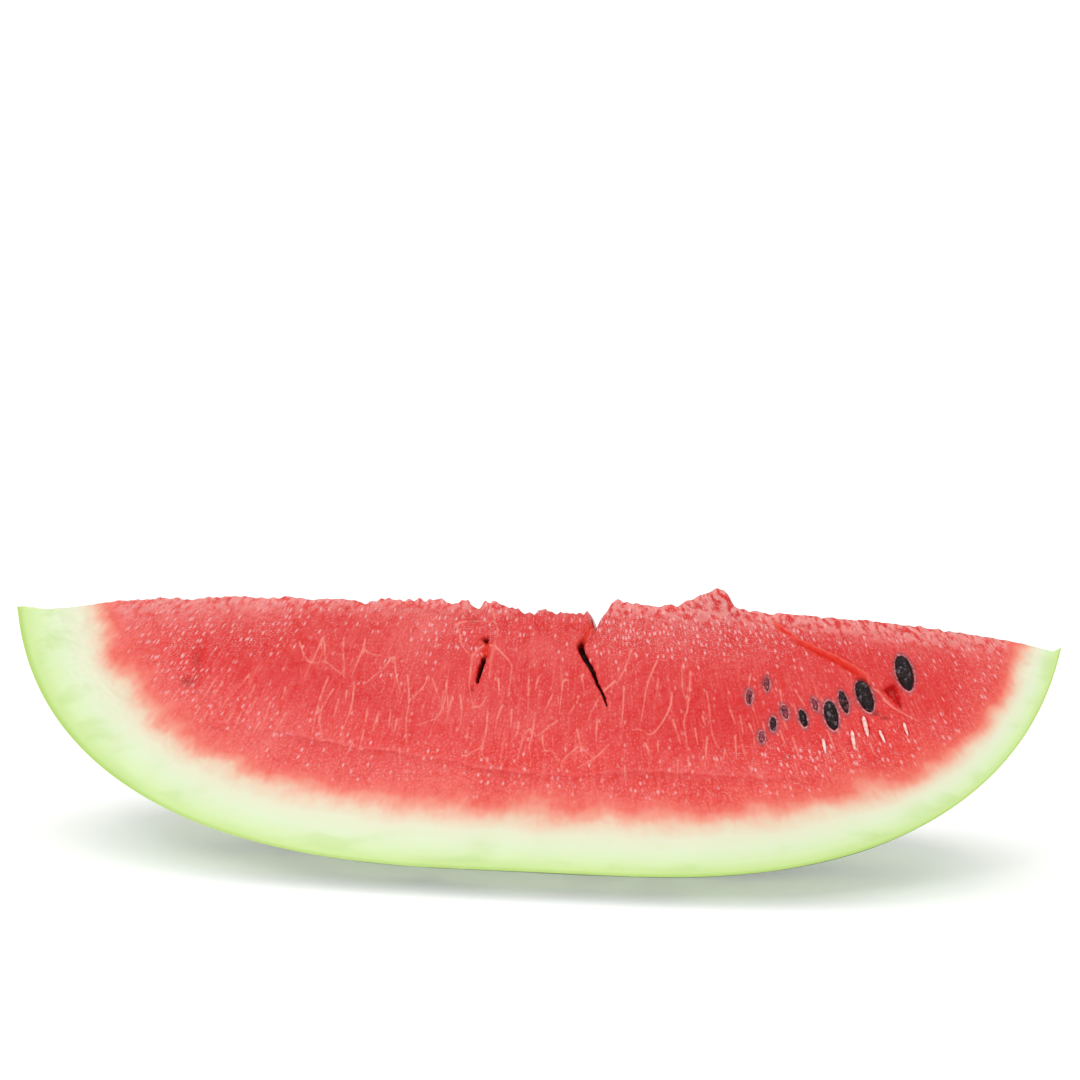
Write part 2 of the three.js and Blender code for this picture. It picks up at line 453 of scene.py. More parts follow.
    def tree(self) -> tuple[kdtree.KDTree, list[tuple[float, float, float]]]:
        """The fibres as closely spaced points that can be searched.

        Returns:
            The search tree, and for each of its points the line's direction and its strength there.
        """
        places = [place for line in self.lines() for place in self.walk(line)]
        found = kdtree.KDTree(len(places))
        facts = []
        for index, (point, way, share) in enumerate(places):
            found.insert(point, index)
            facts.append((*way, 1 - 0.6 * smooth_step(0.25, 1.0, share)))
        found.balance()
        return found, facts


class Board:
    """A material and short ways to lay out its nodes. Lengths are in metres."""

    def __init__(self, name: str, patterns: str = "3D") -> None:
        """Starts a material of that name, whose patterns fill space (3D) or lie in a flat map (2D)."""
        self.patterns = patterns
        self.material = bpy.data.materials.new(name)
        self.material.use_nodes = True
        self.tree = self.material.node_tree
        self.shader = self.tree.nodes["Principled BSDF"]

    def put(self, socket: Wire, value: object) -> None:
        """Links a socket to another one, or sets it to a plain value."""
        if isinstance(value, Wire):
            self.tree.links.new(value, socket)
        else:
            socket.default_value = value

    def node(self, kind: str, settings: dict[str, object], inputs: dict) -> bpy.types.Node:
        """Adds a node.

        Args:
            kind: The node's type.
            settings: The node's own settings by name.
            inputs: Values or sockets for its inputs, by name or number.

        Returns:
            The node.
        """
        made = self.tree.nodes.new(kind)
        for name, value in settings.items():
            setattr(made, name, value)
        for name, value in inputs.items():
            self.put(made.inputs[name], value)
        return made

    def dress(self, **inputs: object) -> None:
        """Sets the shader's sockets. An underscore stands for a space in a socket's name."""
        for name, value in inputs.items():
            self.put(self.shader.inputs[name.replace("_", " ")], value)

    def place(self) -> Wire:
        """The place on the piece, in metres."""
        return self.node("ShaderNodeTexCoord", {}, {}).outputs["Object"]

    def map(self, name: str) -> Wire:
        """The piece's own flat map of that name."""
        return self.node("ShaderNodeUVMap", {"uv_map": name}, {}).outputs[0]

    def fact(self, name: str) -> Wire:
        """A number that the mesh carries at its vertices."""
        return self.node("ShaderNodeAttribute", {"attribute_name": name}, {}).outputs["Fac"]

    def stretch(self, vector: object, *scale: float) -> Wire:
        """A place multiplied along each axis."""
        return self.node("ShaderNodeMapping", {}, {"Vector": vector, "Scale": scale}).outputs[0]

    def noise(self, vector: object, scale: float, detail: float = 3.0) -> Wire:
        """Soft noise, 0 to 1 and mostly near a half."""
        settings = {"noise_dimensions": self.patterns}
        inputs = {"Vector": vector, "Scale": scale, "Detail": detail}
        return self.node("ShaderNodeTexNoise", settings, inputs).outputs[0]

    def sway(self, vector: object, scale: float, detail: float = 3.0) -> Wire:
        """Soft noise about 0."""
        return self.sum("SUBTRACT", self.noise(vector, scale, detail), 0.5)

    def cells(self, vector: object, scale: float, feature: str = "F1") -> bpy.types.Node:
        """A pattern of cells."""
        settings = {"voronoi_dimensions": self.patterns, "feature": feature}
        return self.node("ShaderNodeTexVoronoi", settings, {"Vector": vector, "Scale": scale})

    def chance(self, cells: bpy.types.Node, channel: int = 0) -> Wire:
        """A random number, 0 to 1, of each cell's own. Each of the three channels has another."""
        return self.node("ShaderNodeSeparateColor", {}, {0: cells.outputs["Color"]}).outputs[channel]

    def sum(self, operation: str, first: object, second: object = 0.0) -> Wire:
        """One sum of two numbers, such as ADD or MULTIPLY."""
        return self.node("ShaderNodeMath", {"operation": operation}, {0: first, 1: second}).outputs[0]

    def times(self, *values: object) -> Wire:
        """The product of several numbers."""
        product = values[0]
        for value in values[1:]:
            product = self.sum("MULTIPLY", product, value)
        return product

    def plus(self, *values: object) -> Wire:
        """The total of several numbers."""
        total = values[0]
        for value in values[1:]:
            total = self.sum("ADD", total, value)
        return total

    def rise(self, value: object, low: object, high: object, bottom: float = 0, top: float = 1) -> Wire:
        """Goes smoothly from bottom to top as the value goes from low to high. High may be below low."""
        settings = {"interpolation_type": "SMOOTHSTEP"}
        inputs = {0: value, 1: low, 2: high, 3: bottom, 4: top}
        return self.node("ShaderNodeMapRange", settings, inputs).outputs[0]

    def blend(self, share: object, below: object, above: object) -> Wire:
        """A colour between two, which may be screen colours or sockets."""
        colours = [linear(c) if isinstance(c, tuple) else c for c in (below, above)]
        settings = {"data_type": "RGBA", "clamp_factor": True}
        return self.node("ShaderNodeMix", settings, {0: share, 6: colours[0], 7: colours[1]}).outputs[2]

    def ramp(self, value: object, stops: tuple[tuple[float, Colour], ...]) -> Wire:
        """The colour at a value, from (place, screen colour) stops between 0 and 1."""
        made = self.node("ShaderNodeValToRGB", {}, {"Fac": value})
        elements = made.color_ramp.elements
        elements.remove(elements[1])
        elements[0].position = stops[0][0]
        elements[0].color = linear(stops[0][1])
        for place, colour in stops[1:]:
            elements.new(place).color = linear(colour)
        return made.outputs[0]

    def bump(self, height: object, distance: float) -> Wire:
        """A surface raised where the height, 0 to 1, is high, by up to the distance."""
        return self.node("ShaderNodeBump", {}, {"Height": height, "Distance": distance}).outputs[0]


@dataclass(frozen=True)
class FleshFinish:
    """Wet, grainy red flesh that fades through white to a green edge at the skin.

    A rind share is the distance from the skin as a share of the rind's thickness there. All its colours
    are darkened evenly: painted shade that tones down the bright studio light.
    """

    share_span: float = 2.6
    # Painted shade: the share by which every flesh colour is darkened to tone down the bright lights.
    even_painted_shade: float = 0.17
    blotch: float = 0.55
    fringe: float = 0.09
    rind: tuple[tuple[float, Colour], ...] = (
        (0.00, (172, 210, 96)), (0.06, (204, 232, 148)), (0.20, (218, 239, 180)), (0.40, (226, 239, 201)),
        (0.60, (233, 233, 203)), (0.78, (238, 208, 180)), (0.93, (242, 160, 136)), (1.10, (240, 106, 88)),
        (1.34, (240, 74, 60)), (1.56, (238, 54, 44)), (2.10, (232, 44, 38)), (2.60, (226, 38, 34)),
    )
    rind_green: Colour = (192, 222, 134)
    deep: Colour = (224, 10, 8)
    pale: Colour = (244, 112, 108)
    # grain_gap_shade is painted shade between the grains; grain_tone_and_top_light is each grain's own tone,
    # partly painted light on its top.
    grain_gap_shade: Colour = (206, 22, 28)
    grain_tone_and_top_light: Colour = (248, 108, 104)
    # A painted highlight: the glints of the wet grains.
    glint_fleck: Colour = (255, 186, 186)
    fibre: Colour = (246, 108, 94)
    vein: Colour = (252, 150, 134)
    seam: Colour = (210, 26, 22)
    # hollow and hollow_lip_shade are painted shade: near black deep in the cracks, dark red at the cracks'
    # edges and in the dents.
    hollow: Colour = (58, 4, 6)
    hollow_lip_shade: Colour = (180, 22, 22)
    # The walls' own smooth red, with wall_lit_edge as painted light at their shallow edge and wall as darker
    # red where they go deep.
    wall: Colour = (246, 52, 36)
    wall_lit_edge: Colour = (252, 100, 80)
    stain: Colour = (150, 62, 76)
    # A painted highlight on the wet lip of flesh round each seed.
    socket_lip_highlight: Colour = (240, 158, 158)
    crest: Colour = (246, 152, 146)

    def make(self) -> bpy.types.Material:
        """Makes the material.

        Returns:
            The material, which reads the wedge's vertex facts and its grain map.
        """
        board = Board("flesh", "2D")
        grain = board.map("grain")
        drop = board.node("ShaderNodeSeparateXYZ", {}, {0: grain}).outputs["Y"]
        share = self.rind_share(board, grain)
        in_flesh = board.rise(share, 0.95, 1.4)
        colour = board.ramp(board.sum("DIVIDE", share, self.share_span), self.scaled_rind())
        colour = self.rind_mottle(board, grain, share, colour)
        colour = self.tone(board, grain, in_flesh, colour)
        colour, lumps = self.granules(board, grain, in_flesh, colour)
        colour = self.fibres(board, grain, drop, in_flesh, colour)
        colour = self.torn_crest(board, grain, drop, in_flesh, colour)
        colour, glint_fleck = self.glint_flecks(board, grain, drop, share, in_flesh, colour)
        colour, line = self.veins(board, grain, in_flesh, colour)
        colour = self.seam_line(board, grain, share, colour)
        colour = self.openings(board, grain, colour)
        height = board.plus(lumps, board.times(glint_fleck, 0.8), board.times(line, 0.5))
        # The base colour is darkened evenly here, as painted shade.
        board.dress(
            Base_Color=board.blend(self.even_painted_shade, colour, (0, 0, 0)),
            Specular_IOR_Level=0.36,
            Roughness=board.rise(lumps, 0.0, 1.0, 0.5, 0.34),
            Subsurface_Weight=0.25,
            Subsurface_Radius=(1.0, 0.35, 0.22),
            Subsurface_Scale=2.6 * MM,
            Coat_Weight=0.12,
            Coat_Roughness=0.2,
            Normal=board.bump(height, 0.2 * MM),
        )
        return board.material

    def scaled_rind(self) -> tuple[tuple[float, Colour], ...]:
        """The rind's stops with places from 0 to 1."""
        return tuple((place / self.share_span, colour) for place, colour in self.rind)

    def rind_share(self, board: Board, grain: Wire) -> Wire:
        """The rind share with the boundary's blotches and the fibres' fringe."""
        share = board.fact("rind")
        blotch = board.sway(grain, 70)
        fringe = board.sway(board.stretch(grain, 620, 230, 1), 1.0, 2.0)
        worn = board.rise(share, 0.35, 0.95)
        blotch, fringe = board.times(blotch, worn, self.blotch), board.times(fringe, worn, self.fringe)
        return board.plus(share, blotch, fringe)

    def rind_mottle(self, board: Board, grain: Wire, share: Wire, colour: Wire) -> Wire:
        """Adds faint green clouds to the outer rind."""
        cloud = board.rise(board.noise(board.stretch(grain, 60, 110, 1), 1.0, 3.0), 0.48, 0.72)
        outer = board.times(board.rise(share, 0.05, 0.15), board.rise(share, 0.62, 0.2))
        return board.blend(board.times(cloud, outer, 0.45), colour, self.rind_green)

    def tone(self, board: Board, grain: Wire, in_flesh: Wire, colour: Wire) -> Wire:
        """Adds the deep and pale patches and the soft streaks that run down the face."""
        cloud = board.noise(grain, 75, 4.0)
        deep = board.times(board.plus(board.fact("deep"), board.rise(cloud, 0.5, 0.72, 0, 0.35)), in_flesh)
        colour = board.blend(deep, colour, self.deep)
        haze = board.rise(cloud, 0.62, 0.36, 0.5, 1.1)
        colour = board.blend(board.times(board.fact("pale"), haze, in_flesh), colour, self.pale)
        streak = board.noise(board.stretch(grain, 900, 70, 1), 1.0, 2.0)
        light = board.times(board.rise(streak, 0.52, 0.72, 0, 0.3), in_flesh)
        dark = board.times(board.rise(streak, 0.46, 0.3, 0, 0.3), in_flesh)
        return board.blend(dark, board.blend(light, colour, self.fibre), self.deep)

    def granules(self, board: Board, grain: Wire, in_flesh: Wire, colour: Wire) -> tuple[Wire, Wire]:
        """Adds the juicy grains that the flesh is made of, with painted shade in the gaps between them and a
        random tone of each grain's own that is lightest at its raised middle, partly as painted light on the
        grain tops.

        Returns:
            The colour, and the height of the grains.
        """
        cells = board.cells(board.stretch(grain, 1.0, 0.75, 1.0), 1050)
        own = board.chance(cells)
        lump = board.rise(cells.outputs["Distance"], 0.62, 0.1)
        # Painted shade in the gaps between the grains.
        between = board.times(board.rise(lump, 0.5, 0.0), in_flesh, 0.34)
        colour = board.blend(between, colour, self.grain_gap_shade)
        # Each grain's own random tone, lightest at its raised middle: partly painted light.
        light = board.times(board.rise(own, 0.4, 1.0), board.rise(lump, 0.2, 0.9), in_flesh, 0.5)
        plain = board.rise(board.fact("deep"), 0.75, 0.15, 0.25, 1)
        colour = board.blend(board.times(light, plain), colour, self.grain_tone_and_top_light)
        return colour, board.times(lump, in_flesh, board.rise(own, 0.0, 1.0, 0.5, 1.0))

    def fibres(self, board: Board, grain: Wire, drop: Wire, in_flesh: Wire, colour: Wire) -> Wire:
        """Adds fine pale fibres that run down and out."""
        wander = board.sway(board.stretch(grain, 430, 38, 1), 1.0, 1.0)
        ridge = board.rise(board.sum("ABSOLUTE", wander), 0.03, 0.004)
        patchy = board.rise(board.noise(board.stretch(grain, 140, 75, 1), 1.0, 1.0), 0.48, 0.6)
        depth = board.times(board.rise(drop, 0.012, 0.024), in_flesh)
        return board.blend(board.times(ridge, patchy, depth, 0.42), colour, self.fibre)

    def torn_crest(self, board: Board, grain: Wire, drop: Wire, in_flesh: Wire, colour: Wire) -> Wire:
        """Makes the torn crest pale and ragged."""
        worn = board.rise(board.noise(grain, 420, 3.0), 0.36, 0.6)
        top = board.times(board.rise(drop, 0.009, 0.0, 0, 0.95), in_flesh, worn)
        return board.blend(top, colour, self.crest)

    def glint_flecks(
        self, board: Board, grain: Wire, drop: Wire, share: Wire, in_flesh: Wire, colour: Wire
    ) -> tuple[Wire, Wire]:
        """Adds painted glints: bright pink-white flecks for the light that the wet grains catch, thick near
        the crest, in a band by the rind and where the glint fleck density is high.

        Returns:
            The colour, and where the painted glint flecks are.
        """
        by_crest = board.rise(drop, 0.022, 0.004, 0, 0.2)
        by_rind = board.times(board.rise(share, 2.3, 1.6, 0, 0.16), in_flesh)
        thickness = board.plus(board.fact("glint_fleck_density"), by_crest, by_rind, 0.06)
        long = board.cells(board.stretch(grain, 1.0, 0.5, 1.0), 760)
        small = board.cells(grain, 1500)
        spots = []
        for cells, low in ((long, 0.9), (small, 0.97)):
            chosen = board.rise(board.plus(board.chance(cells, 1), thickness), low, low + 0.3)
            spots.append(board.times(chosen, board.rise(cells.outputs["Distance"], 0.42, 0.04)))
        glint_fleck = board.times(board.sum("MAXIMUM", *spots), in_flesh)
        return board.blend(board.times(glint_fleck, 0.85), colour, self.glint_fleck), glint_fleck

    def veins(self, board: Board, grain: Wire, in_flesh: Wire, colour: Wire) -> tuple[Wire, Wire]:
        """Adds the drawn fibres.

        Returns:
            The colour, and where the fibres stand.
        """
        side = board.sum("ABSOLUTE", board.fact("vein_side"))
        strength = board.fact("vein_on")
        near = board.rise(board.fact("vein_gap"), 0.95, 0.6)
        worn = board.rise(board.noise(grain, 350, 2.0), 0.32, 0.6, 0.4, 1.0)
        width = board.plus(board.times(strength, 0.34), 0.26)
        bright = board.sum("POWER", strength, 0.6)
        line = board.times(board.rise(side, width, 0.06), near, bright, worn, in_flesh)
        return board.blend(board.times(line, 0.7), colour, self.vein), line

    def seam_line(self, board: Board, grain: Wire, share: Wire, colour: Wire) -> Wire:
        """Adds the faint seam between the heart and the outer flesh, which is a little deeper below it."""
        seam = board.plus(board.fact("seam"), board.times(board.sway(grain, 130, 2.0), 1.8))
        patchy = board.rise(board.noise(grain, 40, 1.0), 0.34, 0.6, 0.6, 1.0)
        faint = board.times(patchy, board.rise(share, 1.3, 1.6))
        line = board.times(board.rise(board.sum("ABSOLUTE", seam), 0.6, 0.05), faint, 0.45)
        under = board.times(board.rise(seam, -0.2, 0.4), board.rise(seam, 4.5, 0.4), faint, 0.4)
        colour = board.blend(board.plus(line, under), colour, self.seam)
        lip = board.times(board.rise(seam, -2.0, -1.0), board.rise(seam, -0.3, -1.0), faint, 0.3)
        return board.blend(lip, colour, self.pale)

    def openings(self, board: Board, grain: Wire, colour: Wire) -> Wire:
        """Adds the colours inside the cracks, on the cleft's wall and round the seeds: painted shade deep in
        the cracks and in the dents, a red wall painted lighter at its shallow edge, and a painted highlight
        round the seeds' sockets.
        """
        wall = board.fact("wall")
        # The smooth red walls: painted light at their shallow edge, darker red as painted shade where they
        # go deep.
        colour = board.blend(board.rise(wall, 0.02, 0.5, 0, 0.9), colour, self.wall_lit_edge)
        colour = board.blend(board.rise(wall, 0.35, 0.95, 0, 0.95), colour, self.wall)
        socket = board.fact("socket")
        mottle = board.noise(grain, 900, 3.0)
        halo = board.times(board.rise(socket, 2.2, 0.3), board.rise(mottle, 0.34, 0.58, 0.35, 0.95))
        colour = board.blend(halo, colour, self.stain)
        # A thin, broken painted highlight round each seed's socket.
        ring = board.times(board.rise(socket, 0.1, 0.3), board.rise(socket, 1.0, 0.5))
        broken = board.rise(mottle, 0.62, 0.4, 0.15, 0.8)
        colour = board.blend(board.times(ring, broken), colour, self.socket_lip_highlight)
        # Painted shade: dark red at the edges of the cracks and in the dents, near black deep in the cracks.
        hollow = board.fact("hollow")
        colour = board.blend(board.rise(hollow, 0.02, 0.4), colour, self.hollow_lip_shade)
        return board.blend(board.rise(hollow, 0.35, 0.9), colour, self.hollow)


@dataclass(frozen=True)
class SkinFinish:
    """Waxy, mottled light green skin with dark, jagged stripes along the melon."""

    stripe_spacing: float = 38 * MM
    # The stripes are the skin's own, but this offset lays a dark one along the front face's lower edge,
    # where it also stands in for the shade under that edge.
    stripe_offset: float = 0.105
    light: Colour = (166, 198, 128)
    brightest: Colour = (196, 222, 168)
    olive: Colour = (134, 152, 84)
    stripe: Colour = (40, 68, 30)
    soft_stripe: Colour = (72, 112, 44)

    def make(self) -> bpy.types.Material:
        """Makes the material.

        Returns:
            The material, which reads the wedge's skin map: x, and the way round from straight below.
        """
        board = Board("skin")
        place = board.place()
        flat = board.node("ShaderNodeSeparateXYZ", {}, {0: board.map("skin")})
        round_way = board.sum("DIVIDE", flat.outputs["Y"], self.stripe_spacing)
        sway = board.times(board.sway(board.stretch(place, 1, 0.35, 0.35), 22, 2.0), 0.7)
        teeth = board.times(board.sway(place, 125, 4.0), 0.85)
        ripple = board.times(board.sway(place, 520, 2.0), 0.22)
        stripes = board.plus(round_way, self.stripe_offset, sway)
        off = board.times(board.sum("PINGPONG", stripes, 0.5), 2.0)
        ragged = board.plus(off, teeth, ripple)
        stripe = board.rise(ragged, 0.42, 0.3)
        mottle = board.noise(place, 210, 5.0)
        light = board.blend(board.rise(mottle, 0.42, 0.62), self.light, self.brightest)
        veins = board.cells(board.stretch(place, 0.7, 1, 1), 150, "DISTANCE_TO_EDGE")
        light = board.blend(board.rise(veins.outputs["Distance"], 0.12, 0.0, 0, 0.35), light, self.olive)
        light = board.blend(board.rise(board.noise(place, 55, 3.0), 0.52, 0.7, 0, 0.75), light, self.olive)
        dark = board.blend(board.rise(mottle, 0.4, 0.65), self.stripe, self.soft_stripe)
        colour = board.blend(board.times(stripe, 0.96), light, dark)
        soft_edge = board.times(board.rise(ragged, 0.6, 0.4), board.rise(ragged, 0.36, 0.44), 0.5)
        colour = board.blend(soft_edge, colour, self.soft_stripe)
        board.dress(
            Base_Color=colour,
            Roughness=board.rise(mottle, 0.3, 0.7, 0.3, 0.46),
            Subsurface_Weight=0.08,
            Subsurface_Radius=(0.7, 1.0, 0.4),
            Subsurface_Scale=1.5 * MM,
            Coat_Weight=0.25,
            Coat_Roughness=0.22,
            Normal=board.bump(board.noise(place, 600, 3.0), 0.1 * MM),
        )
        return board.material


@dataclass(frozen=True)
class RipeSeedFinish:
    """A wet, brown-black seed coat with painted sheen, and with as much film of flesh and as many painted
    glints on it as the veil says.
    """

    veil: Veil
    coat: Colour = (20, 11, 14)
    brown: Colour = (52, 29, 27)
    # painted_sheen and glint are painted highlights on the wet coat.
    painted_sheen: Colour = (112, 100, 106)
    film: Colour = (150, 62, 72)
    glint: Colour = (240, 186, 190)

    def make(self) -> bpy.types.Material:
        """Makes the material."""
        board = Board(f"ripe_seed_{self.veil.name.lower()}")
        place = board.place()
        mottle = board.noise(place, 900, 4.0)
        pits = board.noise(place, 1500, 3.0)
        colour = board.blend(board.rise(mottle, 0.5, 0.68), self.coat, self.brown)
        # Painted sheen: grey patches that stand in for reflections on the wet coat.
        painted_sheen = board.rise(board.noise(place, 780, 2.0), 0.56, 0.68, 0, 0.7)
        colour = board.blend(painted_sheen, colour, self.painted_sheen)
        bare = 0.72 - 0.4 * self.veil.value
        strength = min(self.veil.value * 1.2, 0.85)
        film = board.rise(board.noise(place, 1100, 3.0), bare - 0.1, bare + 0.1, 0, strength)
        colour = board.blend(film, colour, self.film)
        # Painted glints: pink-white specks, as strong as the film.
        glint_cells = board.cells(place, 1300)
        chosen = board.rise(board.chance(glint_cells), 0.66, 0.7)
        bright = board.times(board.rise(glint_cells.outputs["Distance"], 0.36, 0.12), chosen)
        colour = board.blend(board.times(bright, strength), colour, self.glint)
        height = board.plus(board.times(pits, 0.4), mottle, board.times(bright, 0.3))
        board.dress(
            Base_Color=colour,
            Roughness=board.rise(mottle, 0.3, 0.7, 0.1, 0.26),
            Specular_IOR_Level=0.16,
            Normal=board.bump(height, 0.6 * MM),
        )
        return board.material


@dataclass(frozen=True)
class UnripeSeedFinish:
    """A thin, soft white seed that the red of the flesh shines through."""

    white: Colour = (250, 204, 196)
    blush: Colour = (240, 150, 144)

    def make(self) -> bpy.types.Material:
        """Makes the material."""
        board = Board("unripe_seed")
        place = board.place()
        blush = board.rise(board.noise(place, 800), 0.45, 0.68)
        board.dress(
            Base_Color=board.blend(blush, self.white, self.blush),
            Roughness=0.34,
            Subsurface_Weight=0.5,
            Subsurface_Radius=(1.0, 0.5, 0.4),
            Subsurface_Scale=1.5 * MM,
            Coat_Weight=0.3,
            Coat_Roughness=0.15,
            Normal=board.bump(board.noise(place, 1500), 0.08 * MM),
        )
        return board.material


@dataclass(frozen=True)
class FloorFinish:
    """A plain white sweep of matt card, lit a little from below so that shadows on it stay pale."""

    card: Colour = (226, 226, 226)
    glow: float = 0.3

    def make(self) -> bpy.types.Material:
        """Makes the material."""
        board = Board("floor_card")
        board.dress(
            Base_Color=linear(self.card),
            Roughness=0.9,
            Specular_IOR_Level=0.1,
            Emission_Color=(1, 1, 1, 1),
            Emission_Strength=self.glow,
        )
        return board.material


@dataclass
class Wedge:
    """The flesh, rind and skin in one piece: a fine sheet rolled round the wedge and closed on itself.

    The sheet's columns are stations along the melon. Its rows run from the crest down the front face,
    round the skin and up the back face to the crest again.
    """

    melon: Melon
    strands: Strands
    sockets: dict[Cut, list[Socket]]
    stations: int = 500
    front_rows: int = 126
    skin_rows: int = 24
    back_rows: int = 40
    end_power: int = 13
    row_start: float = 0.84
    row_power: int = 4
    lip_pull: float = 0.6
    lip_span: float = 3.0
    socket_gap: float = 0.25 * MM
    lip_bounds: tuple[float, ...] = (84, 91, 118, 126)
    socket_far: float = 9.0
    socket_side: float = 11 * MM
    socket_reach: float = 13 * MM
    back_grain_shift: float = 700 * MM
    belly_half_length: float = 60 * MM
    belly_half_angle: float = radians(16)
    dimple: float = 0.5 * MM
    outline_points: int = 1400
    calm_reach: float = 14 * MM
    front_settle: float = 6 * MM
    back_settle: float = 22 * MM
    heart_x: float = -12.0
    tuft_bounds: tuple[float, ...] = (50, 58, 69, 76)
    tuft_blunt: float = 1.5
    crest_blunt: float = 0.35
    crest_round: float = 1.6 * MM
    crest_slant: float = 1.16
    crest: Stops = (
        (-181, 0.0), (-173, 1.6), (-162, 1.4), (-155, 0.8), (-150, 0.2), (-134, -0.2), (-125, 0.0),
        (-119.5, 1.0), (-117.5, 0.0), (-103, 0.0), (-94, 0.9), (-85, 0.4), (-77, 1.7), (-73.5, 1.3),
        (-66, 1.4), (-58, 2.8), (-53, 1.3), (-43, 1.6), (-32, 1.1), (-27.5, 2.9), (-26, 1.4), (-22.3, 1.3),
        (-20, 4.6), (-17, 2.4), (-13.6, 1.0), (-10, 2.7), (-6, 3.9), (-1.2, 5.4), (3, 3.9), (10, 4.6),
        (15.5, 4.9), (19.6, 3.3), (20.8, 5.0), (22.2, 10.2), (23.4, 8.4), (25.6, 4.0), (28, 1.0),
        (30, -1.5), (31.6, -1.5), (32.6, 0.0), (36.5, -0.4), (41, 0.4), (45, 0.5), (49, -0.8), (51, 0.1),
        (54.5, -2.6), (59.6, -4.7), (62.5, -6.6), (65, -7.6), (67, -7.1), (68.8, -5.2), (71.2, -1.5),
        (74.5, -0.4), (80, -0.6), (83.2, 0.3), (86.6, -0.6), (104, -0.5), (114, -0.9), (128, -1.0),
        (142, -0.6), (156, -0.3), (169.5, 0.3), (180, 1.6),
    )
    cracks: tuple[Crack, ...] = (
        Crack(
            ((14.4, -15.0, 0.4), (15.2, -15.0, 1.8), (17.5, -14.6, 2.0), (21, -14.8, 2.1),
             (22.2, -15.4, 2.0), (25, -16.0, 1.9), (27, -16.6, 1.8), (29.4, -16.9, 1.4), (31.2, -17.0, 0.4)),
            6.0, 21.6,
        ),
        Crack(
            ((4.0, 22.2, 3.0), (7.0, 22.2, 2.6), (9.5, 21.3, 2.6), (12, 20.1, 2.6), (14.5, 18.5, 2.4),
             (16.5, 18.2, 2.8), (18.7, 19.1, 2.6), (21, 20.3, 2.4), (23, 22.0, 2.1), (25.3, 23.2, 1.7),
             (27.5, 24.3, 1.4), (30, 25.4, 1.1), (34, 27.7, 1.0), (36.6, 28.6, 0.4)),
            7.0, 15.0,
        ),
    )
    shallow: float = 1.8
    cleft_lip: Stops = (
        (80, 0.4), (83.5, 3.4), (85.6, 5.3), (91, 7.5), (93.4, 10), (96.5, 11.3), (102.4, 13.7), (107.8, 16),
        (112.8, 18.2), (114.6, 20.6), (117.4, 22), (120, 23.5),
    )
    cleft_top: Stops = (
        (80, 0), (84, 2.0), (86.8, 3.2), (89.6, 5.2), (92.8, 7.2), (97.3, 8.6), (101.8, 10.2), (106.3, 11.9),
        (110.8, 13.9), (115.3, 15.5), (118.9, 17.8), (120, 21.5),
    )
    cleft_bounds: tuple[float, ...] = (82, 88, 116.5, 120)
    cleft_depth: float = 2.8
    notch_size: float = 3.4 * MM
    notch: tuple[tuple[float, float], ...] = ((122.9, 22.7), (130.9, 29.6), (127.3, 19.5))
    seam: Stops = (
        (-104, 46), (-95.5, 47.5), (-79, 50.5), (-66, 53), (-57.5, 55), (-42, 56.5), (-28, 58.5), (-19, 60),
        (-10, 61.5), (-1, 62), (12.5, 62.5), (21, 62), (28, 61), (34.5, 60), (42, 59.5), (62, 58.5),
        (74.5, 58.5), (88, 58), (103.5, 56.5), (116, 52),
    )
    rind_thickness: Stops = (
        (-184, 36), (-150, 31), (-110, 24), (-60, 23), (0, 22.5), (60, 21.5), (115, 20), (150, 14),
        (184, 12.5),
    )
    dents: tuple[Patch, ...] = (
        Patch(-116.8, 21.8, 2.0, 5.5, 0.8), Patch(-119.6, 30.3, 3.6, 2.4, 1.0),
        Patch(-101.5, 29.7, 2.2, 3.4, 0.5), Patch(-20, 8.5, 1.8, 1.6, 0.8),
        Patch(-15.1, 15.1, 1.5, 0.8, 2.4), Patch(-18.6, 33.3, 1.0, 1.2, 0.9), Patch(92, 50, 2.4, 2.4, 0.7),
        Patch(121.6, 31.4, 1.9, 0.8, 1.4), Patch(124.6, 32.6, 1.9, 0.8, 1.2),
    )
    pale: tuple[Patch, ...] = (
        Patch(-110, 4, 60, 9, 0.75), Patch(-40, 8, 26, 11, 0.45), Patch(4, 18, 12, 6, 0.35),
        Patch(55, 12, 40, 11, 0.35), Patch(-40, 14, 10, 14, 0.35), Patch(30, 22, 10, 10, 0.25),
        Patch(140, 6, 30, 7, 0.35), Patch(145, 34, 13, 5, 0.35), Patch(-5, 42, 30, 7, 0.35),
        Patch(-95, 44, 30, 9, 0.35), Patch(70, 56, 50, 5, 0.3), Patch(-128, 36, 22, 12, 0.55),
        Patch(-96, 54, 26, 8, 0.5), Patch(-55, 62, 30, 7, 0.4), Patch(-144, 12, 14, 16, 1.0),
        Patch(10, 68, 60, 6, 0.3), Patch(156, 18, 10, 12, 0.4),
    )
    deep: tuple[Patch, ...] = (
        Patch(-88, 22, 24, 13, 0.75), Patch(-116, 25, 7, 9, 0.55), Patch(-62, 34, 16, 10, 0.5),
        Patch(2, 24, 20, 8, 0.4), Patch(60, 37, 26, 14, 0.95), Patch(22, 34, 18, 12, 0.3),
        Patch(110, 12, 22, 6, 0.5), Patch(140, 24, 18, 9, 0.6), Patch(92, 36, 24, 12, 0.4),
        # The patch at 129.5, 25.5 in the notch and the one at 123, 32 in the fissure are painted shade in
        # those hollows.
        Patch(-40, 40, 16, 10, 0.35), Patch(-12, 10, 10, 6, 0.3), Patch(129.5, 25.5, 2.2, 4.5, 0.8),
        Patch(123, 32, 3, 1, 0.7),
    )
